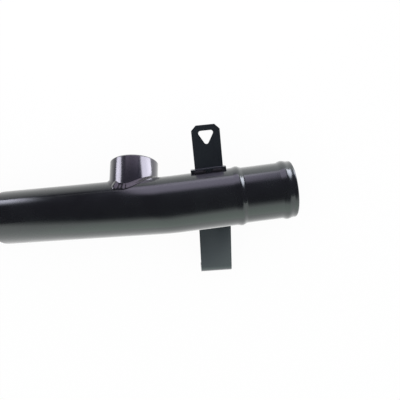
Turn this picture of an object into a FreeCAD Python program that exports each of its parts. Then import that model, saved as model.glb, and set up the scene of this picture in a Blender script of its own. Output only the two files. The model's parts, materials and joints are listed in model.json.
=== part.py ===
"""Coolant pipe: a bent steel tube with a welded sensor boss, a cable tab and a fixing bracket.

The pipe is drawn as it is fitted: the bend lies in the XY plane, the hose spigot points along +X
and the tab stands along +Z. It is then laid down on its two ends and the rim of the boss, the way
it comes to rest on a bench, with the bench at z = 0.
"""

import math
import os
import re

import FreeCAD
import Part
import Sketcher
from FreeCAD import Placement, Rotation, Vector

# Driving sizes in millimetres and degrees
SIZES = {
    "tube_od": 33.0,
    "tube_wall": 1.5,
    "left_run": 102.7,
    "bend_angle": 15.0,
    "bend_radius": 40.0,
    "right_run": 34.6,
    "spigot_od": 32.0,
    "spigot_run": 26.0,
    "lip_run": 5.2,
    "lip_round": 0.9,
    "stop_bead_od": 34.2,
    "end_bead_od": 33.7,
    "bead_width": 6.6,
    "insert_od": 26.0,
    "insert_run": 18.0,
    "insert_chamfer": 1.0,
    "shoulder_round": 6.0,
    "port_hole": 21.0,
    "boss_od": 28.5,
    "boss_bore": 20.4,
    "boss_reach": 28.0,
    "boss_setback": 17.4,
    "boss_clock_angle": 28.0,
    "boss_chamfer": 0.8,
    "bore_chamfer": 1.2,
    "boss_weld": 1.8,
    "tab_station": 19.1,
    "tab_width": 16.0,
    "tab_sheet": 2.0,
    "tab_top": 42.5,
    "tab_skew_angle": 1.5,
    "tab_corner": 2.8,
    "tab_hole_width": 10.2,
    "tab_hole_height": 8.8,
    "tab_hole_round": 1.3,
    "tab_hole_edge": 3.2,
    "foot_width": 20.0,
    "foot_front_angle": 9.0,
    "foot_wrap_angle": 46.0,
    "leg_station": 20.1,
    "leg_width": 18.4,
    "leg_sheet": 2.5,
    "leg_drop": 46.4,
    "leg_skew_angle": 3.9,
    "leg_lean_angle": 12.0,
    "fold_round": 2.5,
    "sole_depth": 22.0,
    "sole_round": 4.0,
    "bolt_hole": 6.6,
    "saddle_start_angle": 4.0,
    "saddle_wrap_angle": 48.0,
    "weld_round": 1.8,
    "lobe_length": 7.6,
    "lobe_spacing": 10.2,
}

# Slack in millimetres for telling edges apart, and passes for finding the bench
SLACK = 0.01
BENCH_PASSES = 40

# Turn of a plain cylinder about its axis that takes its seam line clear of a weld
SEAM_TURN = 45

X_AXIS = Vector(1, 0, 0)
Y_AXIS = Vector(0, 1, 0)
Z_AXIS = Vector(0, 0, 1)

doc = FreeCAD.newDocument("coolant_pipe")
sheet = doc.addObject("Spreadsheet::Sheet", "sizes")
for row, (alias, size) in enumerate(SIZES.items(), start=1):
    sheet.set(f"A{row}", alias)
    sheet.set(f"B{row}", str(size))
    sheet.setAlias(f"B{row}", alias)
doc.recompute()


# Helpers for bodies, sketches and features


def size(formula):
    """The number that a formula of the sheet's sizes gives now."""
    result = sheet.evalExpression(formula)
    return float(getattr(result, "Value", result))


def bound(formula):
    """The same formula as another object writes it, with the sheet's name before each size."""
    return re.sub(r"[a-z_]+", lambda word: ("sizes." if word[0] in SIZES else "") + word[0], formula)


def new_body(name):
    body = doc.addObject("PartDesign::Body", name)
    body.Label = name
    return body


def new_sketch(body, name, plane, tilt_axis=X_AXIS, tilt="0", shift=("0", "0", "0")):
    """A sketch on one of the body's own planes, turned and shifted by formulas of the sizes."""
    sketch = body.newObject("Sketcher::SketchObject", name)
    base = [item for item in body.Origin.OriginFeatures if item.Role == plane]
    sketch.AttachmentSupport = (base[0], "")
    sketch.MapMode = "FlatFace"
    sketch.AttachmentOffset = Placement(Vector(*map(size, shift)), Rotation(tilt_axis, size(tilt)))
    for axis, formula in zip("xyz", shift):
        if formula != "0":
            sketch.setExpression(f"AttachmentOffset.Base.{axis}", bound(formula))
    if tilt != "0":
        sketch.setExpression("AttachmentOffset.Rotation.Angle", bound(tilt))
    return sketch


def fix_point(sketch, geometry, end, x_formula, y_formula):
    """Hold one point of a sketch at a place given by two formulas."""
    for kind, axis, formula in (("DistanceX", -2, x_formula), ("DistanceY", -1, y_formula)):
        if formula == "0":
            sketch.addConstraint(Sketcher.Constraint("PointOnObject", geometry, end, axis))
            continue
        rule = Sketcher.Constraint(kind, -1, 1, geometry, end, size(formula))
        index = sketch.addConstraint(rule)
        sketch.setExpression(f"Constraints[{index}]", bound(formula))


def arc_between(start, finish, centre_x):
    """The short arc from start to finish whose centre has the given x, and whether it runs backwards."""
    run = (start.x - centre_x) ** 2 - (finish.x - centre_x) ** 2
    centre_y = (run + start.y**2 - finish.y**2) / (2 * (start.y - finish.y))
    centre = Vector(centre_x, centre_y, 0)
    first = math.atan2(start.y - centre_y, start.x - centre_x)
    last = math.atan2(finish.y - centre_y, finish.x - centre_x)
    circle = Part.Circle(centre, Z_AXIS, start.distanceToPoint(centre))
    backwards = (last - first) % (2 * math.pi) > math.pi
    if backwards:
        first, last = last, first
    return Part.ArcOfCircle(circle, first, last), backwards


def draw_outline(sketch, corners):
    """A closed outline. A corner is (x, y), or (x, y, centre x) where an arc leaves it."""
    places = [Vector(size(corner[0]), size(corner[1]), 0) for corner in corners]
    edges = []
    for corner, start, finish in zip(corners, places, places[1:] + places[:1]):
        curve = Part.LineSegment(start, finish)
        ends = (1, 2)
        if len(corner) == 3:
            curve, backwards = arc_between(start, finish, size(corner[2]))
            ends = (2, 1) if backwards else (1, 2)
        edges.append((sketch.addGeometry(curve), *ends))
    for number, corner in enumerate(corners):
        edge, start_end, _ = edges[number]
        before, _, finish_end = edges[number - 1]
        sketch.addConstraint(Sketcher.Constraint("Coincident", before, finish_end, edge, start_end))
        fix_point(sketch, edge, start_end, corner[0], corner[1])
        if len(corner) == 3:
            rule = Sketcher.Constraint("DistanceX", -1, 1, edge, 3, size(corner[2]))
            index = sketch.addConstraint(rule)
            sketch.setExpression(f"Constraints[{index}]", bound(corner[2]))


def draw_circle(sketch, diameter, x_formula="0", y_formula="0"):
    centre = Vector(size(x_formula), size(y_formula), 0)
    circle = sketch.addGeometry(Part.Circle(centre, Z_AXIS, size(diameter) / 2))
    fix_point(sketch, circle, 3, x_formula, y_formula)
    index = sketch.addConstraint(Sketcher.Constraint("Diameter", circle, size(diameter)))
    sketch.setExpression(f"Constraints[{index}]", bound(diameter))


def revolve(body, name, sketch, axis="H_Axis", angle="360", backwards=False):
    feature = body.newObject("PartDesign::Revolution", name)
    feature.Profile = sketch
    feature.ReferenceAxis = (sketch, [axis])
    feature.Reversed = backwards
    feature.setExpression("Angle", bound(angle))
    doc.recompute()
    return feature


def extrude(body, kind, name, sketch, length):
    """A pad or a pocket, half of its length to each side of the sketch."""
    feature = body.newObject(kind, name)
    feature.Profile = sketch
    feature.Midplane = True
    feature.setExpression("Length", bound(length))
    doc.recompute()
    return feature


def round_edges(body, name, feature, radius, wanted):
    """Round the straight edges of a feature that pass the given test."""
    names = []
    for number, edge in enumerate(feature.Shape.Edges, start=1):
        if edge.Curve.TypeId == "Part::GeomLine" and wanted(edge):
            names.append(f"Edge{number}")
    rounding = body.newObject("PartDesign::Fillet", name)
    rounding.Base = (feature, names)
    rounding.setExpression("Radius", bound(radius))
    doc.recompute()
    return rounding


def largest(shape):
    """The largest solid of a shape that a cut has left in pieces."""
    return max(shape.Solids, key=lambda solid: solid.Volume)


# Formed tube: hose end, bend and reduced end

HALF_BEAD = "bead_width / 2"
BODY = "tube_od / 2"
SPIGOT = "spigot_od / 2"
STOP_X = "right_run"
BEAD_X = "right_run + spigot_run"
LIP_X = "right_run + spigot_run + lip_run"
DROP = "(tube_od - insert_od) / 2"
SHOULDER = f"sqrt({DROP} * (4 * shoulder_round - {DROP}))"
NECK_X = f"left_run + {SHOULDER}"
INSERT_X = f"{NECK_X} + insert_run"
INSERT = "insert_od / 2"


def bead_wall(centre_x, crest, before, after):
    """Corners of a rolled bead from left to right: each flank is two equal arcs that run into each other."""
    left = f"{centre_x} - {HALF_BEAD}"
    right = f"{centre_x} + {HALF_BEAD}"
    return [
        (left, before, left),
        (f"{centre_x} - {HALF_BEAD} / 2", f"({before} + {crest}) / 2", centre_x),
        (centre_x, crest, centre_x),
        (f"{centre_x} + {HALF_BEAD} / 2", f"({crest} + {after}) / 2", right),
        (right, after),
    ]


def bead_wall_inside(centre_x, crest, before, after):
    """The same bead inside, from right to left, one wall thickness in."""
    left = f"{centre_x} - {HALF_BEAD}"
    right = f"{centre_x} + {HALF_BEAD}"
    return [
        (right, f"{after} - tube_wall", right),
        (f"{centre_x} + {HALF_BEAD} / 2", f"({crest} + {after}) / 2 - tube_wall", centre_x),
        (centre_x, f"{crest} - tube_wall", centre_x),
        (f"{centre_x} - {HALF_BEAD} / 2", f"({before} + {crest}) / 2 - tube_wall", left),
        (left, f"{before} - tube_wall"),
    ]


def make_tube():
    body = new_body("tube")
    hose_end = new_sketch(body, "hose_end_profile", "XY_Plane")
    draw_outline(
        hose_end,
        [("0", BODY)]
        + bead_wall(STOP_X, "stop_bead_od / 2", BODY, SPIGOT)
        + bead_wall(BEAD_X, "end_bead_od / 2", SPIGOT, SPIGOT)
        + [
            (f"{LIP_X} - lip_round", SPIGOT, f"{LIP_X} - lip_round"),
            (LIP_X, f"{SPIGOT} - lip_round"),
            (LIP_X, f"{SPIGOT} - tube_wall"),
        ]
        + bead_wall_inside(BEAD_X, "end_bead_od / 2", SPIGOT, SPIGOT)
        + bead_wall_inside(STOP_X, "stop_bead_od / 2", BODY, SPIGOT)
        + [("0", f"{BODY} - tube_wall")],
    )
    revolve(body, "hose_end", hose_end)

    ring = new_sketch(body, "bend_section", "YZ_Plane")
    draw_circle(ring, "tube_od")
    draw_circle(ring, "tube_od - 2 * tube_wall")
    reach = size("bend_radius")
    centre_line = Part.LineSegment(Vector(reach, 0, 0), Vector(reach, reach, 0))
    axis = ring.addGeometry(centre_line, True)
    fix_point(ring, axis, 1, "bend_radius", "0")
    fix_point(ring, axis, 2, "bend_radius", "bend_radius")
    revolve(body, "bend", ring, "Axis0", "bend_angle", backwards=True)

    shift = ("-bend_radius * sin(bend_angle)", "bend_radius * (1 - cos(bend_angle))", "0")
    plain_end = new_sketch(body, "plain_end_profile", "XY_Plane", Z_AXIS, "180 - bend_angle", shift)
    halfway = f"left_run + {SHOULDER} / 2"
    draw_outline(
        plain_end,
        [
            ("0", BODY),
            ("left_run", BODY, "left_run"),
            (halfway, f"{BODY} - {DROP} / 2", NECK_X),
            (NECK_X, INSERT),
            (f"{INSERT_X} - insert_chamfer", INSERT),
            (INSERT_X, f"{INSERT} - insert_chamfer"),
            (INSERT_X, f"{INSERT} - tube_wall"),
            (NECK_X, f"{INSERT} - tube_wall", NECK_X),
            (
                f"{halfway} - tube_wall * {SHOULDER} / (2 * shoulder_round)",
                f"{BODY} - {DROP} / 2 - tube_wall * (1 - {DROP} / (2 * shoulder_round))",
                "left_run",
            ),
            ("left_run", f"{BODY} - tube_wall"),
            ("0", f"{BODY} - tube_wall"),
        ],
    )
    revolve(body, "plain_end", plain_end)
    return body


def make_pipe():
    """The formed tube with the port cut through its wall under the boss."""
    tube = make_tube()
    cutter = doc.addObject("Part::Cylinder", "port_cutter")
    cutter.setExpression("Radius", bound("port_hole / 2"))
    cutter.setExpression("Height", bound("tube_od"))
    cutter.Placement = BOSS_PLACE
    pipe = doc.addObject("Part::Cut", "pipe")
    pipe.Base = tube
    pipe.Tool = cutter
    return pipe


# Sensor boss and its weld, drawn on the tube's axis with +Z outwards


def make_sensor_boss():
    body = new_body("sensor_boss")
    section = new_sketch(body, "boss_profile", "XZ_Plane")
    bore = "boss_bore / 2"
    outside = "boss_od / 2"
    draw_outline(
        section,
        [
            (bore, "0"),
            (outside, "0"),
            (outside, "boss_reach - boss_chamfer"),
            (f"{outside} - boss_chamfer", "boss_reach"),
            (f"{bore} + bore_chamfer", "boss_reach"),
            (bore, "boss_reach - bore_chamfer"),
        ],
    )
    revolve(body, "boss_turning", section, "V_Axis")
    saddle = new_sketch(body, "saddle_circle", "YZ_Plane")
    draw_circle(saddle, "tube_od")
    extrude(body, "PartDesign::Pocket", "saddle_cut", saddle, "2 * boss_od")
    return body


def make_boss_weld():
    """A bead of weld metal along the corner where the boss stands on the tube."""
    reach = 2 * size("boss_od")
    tube = Part.makeCylinder(size(BODY), 2 * reach, Vector(-reach, 0, 0), X_AXIS)
    tube.rotate(Vector(), X_AXIS, SEAM_TURN)
    boss = Part.makeCylinder(size("boss_od / 2"), size("boss_reach"))
    joined = tube.fuse(boss)
    plain = ("Part::GeomLine", "Part::GeomCircle")
    curves = [edge for edge in joined.Edges if edge.Curve.TypeId not in plain]
    seam = Part.Wire(Part.__sortEdges__(curves))
    start = seam.Edges[0]
    point = start.valueAt(start.FirstParameter)
    along = start.tangentAt(start.FirstParameter)
    section = Part.Wire(Part.makeCircle(size("boss_weld"), point, along))
    bead = seam.makePipeShell([section], True, True)
    weld = doc.addObject("Part::Feature", "boss_weld")
    weld.Shape = largest(bead.cut(tube).cut(boss))
    return weld


# Cable tab and bracket, drawn at their station on the tube's axis with +Z outwards

FOLD = "(fold_round + leg_sheet)"
FOLD_Z = f"(leg_drop - {FOLD})"
LEG_FALL = f"({FOLD_Z} + {FOLD} * sin(leg_lean_angle) - tube_od / 2)"
FOLD_Y = f"({FOLD} * cos(leg_lean_angle) + {LEG_FALL} * tan(leg_lean_angle))"
BOLT_Y = f"(sole_depth + {FOLD_Y}) / 2"


def make_cable_tab():
    body = new_body("cable_tab")
    half = "tab_width / 2"
    foot = new_sketch(body, "foot_section", "XZ_Plane", X_AXIS, "foot_front_angle")
    draw_outline(
        foot,
        [
            ("-foot_width / 2", BODY),
            ("foot_width / 2", BODY),
            ("foot_width / 2", f"{BODY} + tab_sheet"),
            ("-foot_width / 2", f"{BODY} + tab_sheet"),
        ],
    )
    revolve(body, "foot", foot, "H_Axis", "foot_wrap_angle", backwards=True)
    plate = new_sketch(body, "tab_outline", "XZ_Plane", Z_AXIS, "-tab_skew_angle")
    draw_outline(
        plate,
        [
            (f"-{half}", f"{BODY} + tab_sheet / 2"),
            (half, f"{BODY} + tab_sheet / 2"),
            (half, "tab_top - tab_corner"),
            (f"{half} - tab_corner", "tab_top"),
            (f"-{half} + tab_corner", "tab_top"),
            (f"-{half}", "tab_top - tab_corner"),
        ],
    )
    extrude(body, "PartDesign::Pad", "tab_plate", plate, "tab_sheet")
    opening = new_sketch(body, "tie_hole_outline", "XZ_Plane", Z_AXIS, "-tab_skew_angle")
    draw_outline(
        opening,
        [
            ("-tab_hole_width / 2", "tab_top - tab_hole_edge"),
            ("0", "tab_top - tab_hole_edge - tab_hole_height"),
            ("tab_hole_width / 2", "tab_top - tab_hole_edge"),
        ],
    )
    cut = extrude(body, "PartDesign::Pocket", "tie_hole", opening, "2 * tab_sheet")
    high = size("tab_top - tab_hole_edge") + SLACK
    low = high - size("tab_hole_height") - 2 * SLACK

    def in_the_hole(edge):
        middle = TAB_SKEW.inverted().multVec(edge.CenterOfMass)
        across = abs(edge.Length - size("tab_sheet")) < SLACK
        inside = abs(middle.x) < size("tab_hole_width / 2") + SLACK
        return across and inside and low < middle.z < high

    round_edges(body, "tie_hole_rounding", cut, "tab_hole_round", in_the_hole)
    return body


def make_fixing_bracket():
    body = new_body("fixing_bracket")
    leg = new_sketch(body, "leg_profile", "YZ_Plane", X_AXIS, "leg_skew_angle")
    draw_outline(
        leg,
        [
            ("-leg_sheet * tan(leg_lean_angle)", f"{BODY} - leg_sheet"),
            (f"{FOLD_Y} - {FOLD} * cos(leg_lean_angle)", f"{FOLD_Z} + {FOLD} * sin(leg_lean_angle)", FOLD_Y),
            (FOLD_Y, "leg_drop"),
            ("sole_depth", "leg_drop"),
            ("sole_depth", "leg_drop - leg_sheet"),
            (FOLD_Y, "leg_drop - leg_sheet", FOLD_Y),
            (f"{FOLD_Y} - fold_round * cos(leg_lean_angle)", f"{FOLD_Z} + fold_round * sin(leg_lean_angle)"),
            ("leg_sheet / cos(leg_lean_angle) - leg_sheet * tan(leg_lean_angle)", f"{BODY} - leg_sheet"),
        ],
    )
    extrude(body, "PartDesign::Pad", "leg", leg, "leg_width")
    seat = new_sketch(body, "tube_seat_circle", "YZ_Plane")
    draw_circle(seat, "tube_od")
    extrude(body, "PartDesign::Pocket", "tube_seat", seat, "2 * leg_width")
    saddle = new_sketch(body, "saddle_section", "XZ_Plane", X_AXIS, "-saddle_start_angle")
    draw_outline(
        saddle,
        [
            ("-leg_width / 2", BODY),
            ("leg_width / 2", BODY),
            ("leg_width / 2", f"{BODY} + leg_sheet"),
            ("-leg_width / 2", f"{BODY} + leg_sheet"),
        ],
    )
    folded = revolve(body, "saddle", saddle, "H_Axis", "saddle_wrap_angle", backwards=True)

    def at_the_toe(edge):
        thin = abs(edge.Length - size("leg_sheet")) < SLACK
        return thin and edge.CenterOfMass.y > size("sole_depth") - SLACK

    round_edges(body, "sole_rounding", folded, "sole_round", at_the_toe)
    place = ("leg_drop * sin(leg_skew_angle)", "0", "leg_drop * cos(leg_skew_angle)")
    bolt = new_sketch(body, "bolt_hole_circle", "XY_Plane", Y_AXIS, "leg_skew_angle", place)
    draw_circle(bolt, "bolt_hole", "0", BOLT_Y)
    extrude(body, "PartDesign::Pocket", "bolt_hole_cut", bolt, "4 * leg_sheet")
    return body


def weld_bead(length, angle, along):
    """A round-ended bead along the tube, at an angle back from +Z, with its middle at x = along."""
    radius = size("weld_round")
    middle = size(BODY)
    angle = math.radians(angle)
    centre = Vector(along, middle * math.sin(angle), middle * math.cos(angle))
    half = X_AXIS * (length / 2 - radius)
    bead = Part.makeCylinder(radius, 2 * half.x, centre - half, X_AXIS)
    for end in (centre - half, centre + half):
        bead = bead.fuse(Part.makeSphere(radius, end))
    return bead.removeSplitter()


def trim_weld(name, beads, joined):
    """Weld beads cut back to the tube and to the sheet that they join to it."""
    reach = 2 * size("foot_width")
    tube = Part.makeCylinder(size(BODY), 2 * reach, Vector(-reach, 0, 0), X_AXIS)
    weld = doc.addObject("Part::Feature", name)
    weld.Shape = Part.makeCompound([largest(bead.cut(tube).cut(joined.Shape)) for bead in beads])
    return weld


def make_tab_weld(tab):
    half = size("lobe_spacing / 2")
    beads = []
    for angle in (-size("foot_front_angle"), size("foot_wrap_angle - foot_front_angle")):
        beads += [weld_bead(size("lobe_length"), angle, along) for along in (-half, half)]
    return trim_weld("tab_weld", beads, tab)


def make_bracket_weld(bracket):
    bead = weld_bead(size("leg_width - weld_round"), size("saddle_start_angle + saddle_wrap_angle"), 0)
    return trim_weld("bracket_weld", [bead], bracket)


# How the pipe lies on the bench

BEND_START = Vector(
    size("-bend_radius * sin(bend_angle)"),
    size("bend_radius * (1 - cos(bend_angle))"),
    0,
)
LEFT_TURN = Rotation(Z_AXIS, -size("bend_angle"))
LEFTWARDS = LEFT_TURN.multVec(-X_AXIS)
BOSS_TURN = LEFT_TURN.multiply(Rotation(X_AXIS, -size("boss_clock_angle")))
BOSS_PLACE = Placement(BEND_START + LEFTWARDS * size("boss_setback"), BOSS_TURN)
TAB_PLACE = Placement(Vector(size("tab_station"), 0, 0), Rotation())
TAB_SKEW = Rotation(Y_AXIS, size("tab_skew_angle"))
BRACKET_PLACE = Placement(Vector(size("leg_station"), 0, 0), Rotation(Y_AXIS, 180))


def lowest_point(ring, up):
    """The lowest point of a round-edged ring: its centre, axis, radius and the edge's own radius."""
    centre, axis, radius, edge_radius = ring
    outwards = up - axis * up.dot(axis)
    outwards.normalize()
    return centre - outwards * (radius - edge_radius) - up * edge_radius


def bench_place():
    """The placement that lays the shoulder, the end bead and the boss's rim on the bench."""
    rise = size("(end_bead_od - spigot_od) / 2")
    bead_round = (size(HALF_BEAD) ** 2 + rise**2) / (4 * rise)
    boss_axis = BOSS_TURN.multVec(Z_AXIS)
    rim = BOSS_PLACE.Base + boss_axis * size("boss_reach - boss_chamfer")
    rings = [
        (BEND_START + LEFTWARDS * size("left_run"), LEFTWARDS, size(BODY), size("shoulder_round")),
        (X_AXIS * size(BEAD_X), X_AXIS, size("end_bead_od / 2"), bead_round),
        (rim, boss_axis, size("boss_od / 2"), 0),
    ]
    up = -Y_AXIS
    for _ in range(BENCH_PASSES):
        shoulder, bead, boss = [lowest_point(ring, up) for ring in rings]
        up = (bead - shoulder).cross(boss - shoulder)
        up.normalize()
    turn = Rotation(up, Z_AXIS)
    along = turn.multVec(bead - shoulder)
    turn = Rotation(Z_AXIS, -math.degrees(math.atan2(along.y, along.x))).multiply(turn)
    return Placement(-Z_AXIS * turn.multVec(shoulder).z, turn)


# The whole pipe

tab = make_cable_tab()
bracket = make_fixing_bracket()
pieces = [
    (make_pipe(), Placement()),
    (make_sensor_boss(), BOSS_PLACE),
    (make_boss_weld(), BOSS_PLACE),
    (tab, TAB_PLACE),
    (make_tab_weld(tab), TAB_PLACE),
    (bracket, BRACKET_PLACE),
    (make_bracket_weld(bracket), BRACKET_PLACE),
]
doc.recompute()
bench = bench_place()
for piece, place in pieces:
    piece.Placement = bench.multiply(place)
outline = Part.makeCompound([piece.Shape for piece, _ in pieces]).optimalBoundingBox()
middle = Vector(outline.Center.x, outline.Center.y, outline.ZMin)
for piece, _ in pieces:
    piece.Placement = Placement(-middle, Rotation()).multiply(piece.Placement)
doc.recompute()

for item in doc.Objects:
    if "Invalid" in item.State or "Error" in item.State:
        raise RuntimeError(f"{item.Label} did not build")
os.makedirs("parts", exist_ok=True)
for piece, _ in pieces:
    if piece.Shape.isNull() or not piece.Shape.isValid():
        raise RuntimeError(f"{piece.Label} has no valid solid")
    piece.Shape.exportStep(f"parts/{piece.Label}.step")
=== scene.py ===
"""Coolant pipe in gloss black enamel, dressed for a studio picture.

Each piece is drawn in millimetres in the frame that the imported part's mounts give, modelled with
hand tools and stood in its place, where it stands for its plain solid.
"""

from __future__ import annotations

import json
import logging
import math
from collections.abc import Callable, Mapping, Sequence
from dataclasses import dataclass
from enum import Enum
from typing import Any

import bmesh
import bpy
from mathutils import Matrix, Vector

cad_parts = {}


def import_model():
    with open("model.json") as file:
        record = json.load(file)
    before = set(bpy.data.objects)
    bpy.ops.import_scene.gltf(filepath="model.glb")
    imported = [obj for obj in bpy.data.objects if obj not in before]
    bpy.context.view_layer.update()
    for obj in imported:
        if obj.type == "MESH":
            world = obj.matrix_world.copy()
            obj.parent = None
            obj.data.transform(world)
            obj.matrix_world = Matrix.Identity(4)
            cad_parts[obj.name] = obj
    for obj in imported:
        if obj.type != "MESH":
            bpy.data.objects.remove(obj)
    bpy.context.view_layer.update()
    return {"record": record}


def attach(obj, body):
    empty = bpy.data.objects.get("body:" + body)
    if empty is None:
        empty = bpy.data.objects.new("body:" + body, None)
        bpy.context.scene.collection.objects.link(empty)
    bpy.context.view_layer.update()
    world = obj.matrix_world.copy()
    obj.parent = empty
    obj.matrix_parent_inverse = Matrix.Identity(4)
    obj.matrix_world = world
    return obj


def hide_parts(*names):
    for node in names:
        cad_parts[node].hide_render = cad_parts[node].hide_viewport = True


LOG = logging.getLogger("coolant_pipe")

Point = tuple[float, float]
Place = tuple[float, float, float]
Pieces = dict[str, bpy.types.Object]


def mm(length: float) -> float:
    """A length of the drawing in metres."""
    return length * 0.001


def at(x: float, y: float, z: float) -> Vector:
    """A point of the drawing, given in millimetres, in metres."""
    return Vector((x, y, z)) * 0.001


def linear(hex_colour: str) -> tuple[float, float, float, float]:
    """Turn an sRGB colour into the linear one that shaders take.

    Args:
        hex_colour: Six hexadecimal digits, red first.

    Returns:
        Linear red, green and blue, and an alpha of 1.
    """
    shares = [int(hex_colour[i : i + 2], 16) / 255 for i in (0, 2, 4)]
    red, green, blue = [s / 12.92 if s <= 0.04045 else ((s + 0.055) / 1.055) ** 2.4 for s in shares]
    return red, green, blue, 1.0


def add_node(
    tree: bpy.types.NodeTree, kind: str, inputs: Mapping[Any, Any], **settings: Any
) -> bpy.types.Node:
    """Add a node with its settings, its values and its links.

    Args:
        tree: Node tree that takes the node.
        kind: Blender's name for the kind of node.
        inputs: Value or source socket for each input, by name or number.
        **settings: The node's own properties.

    Returns:
        The new node.
    """
    node = tree.nodes.new(kind)
    for name, setting in settings.items():
        setattr(node, name, setting)
    for name, value in inputs.items():
        if isinstance(value, bpy.types.NodeSocket):
            tree.links.new(value, node.inputs[name])
        else:
            node.inputs[name].default_value = value
    return node


# Drawing lines


@dataclass(frozen=True)
class Corner:
    """A corner of a drawn outline, with the radius that rounds it."""

    across: float
    up: float
    fillet: float = 0.0


def rounded(corners: Sequence[Corner], closed: bool = True, steps: int = 5) -> list[Point]:
    """Draw an outline with its corners rounded.

    Args:
        corners: The outline's corners in order.
        closed: Whether the last corner joins the first.
        steps: Chords in each rounded corner.

    Returns:
        The points of the outline in order.
    """
    points: list[Point] = []
    count = len(corners)
    for number, corner in enumerate(corners):
        here = Vector((corner.across, corner.up))
        end = not closed and number in (0, count - 1)
        if corner.fillet == 0 or end:
            points.append(tuple(here))
            continue
        before, after = corners[number - 1], corners[(number + 1) % count]
        back = (Vector((before.across, before.up)) - here).normalized()
        on = (Vector((after.across, after.up)) - here).normalized()
        half = back.angle(on) / 2
        centre = here + (back + on).normalized() * corner.fillet / math.sin(half)
        first = here + back * corner.fillet / math.tan(half) - centre
        last = here + on * corner.fillet / math.tan(half) - centre
        for step in range(steps + 1):
            blend = first.lerp(last, step / steps).normalized() * corner.fillet
            points.append(tuple(centre + blend))
    return points


def ease(share: float) -> float:
    """A smooth rise from 0 to 1."""
    return (1 - math.cos(math.pi * share)) / 2


# Hand tools


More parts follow.
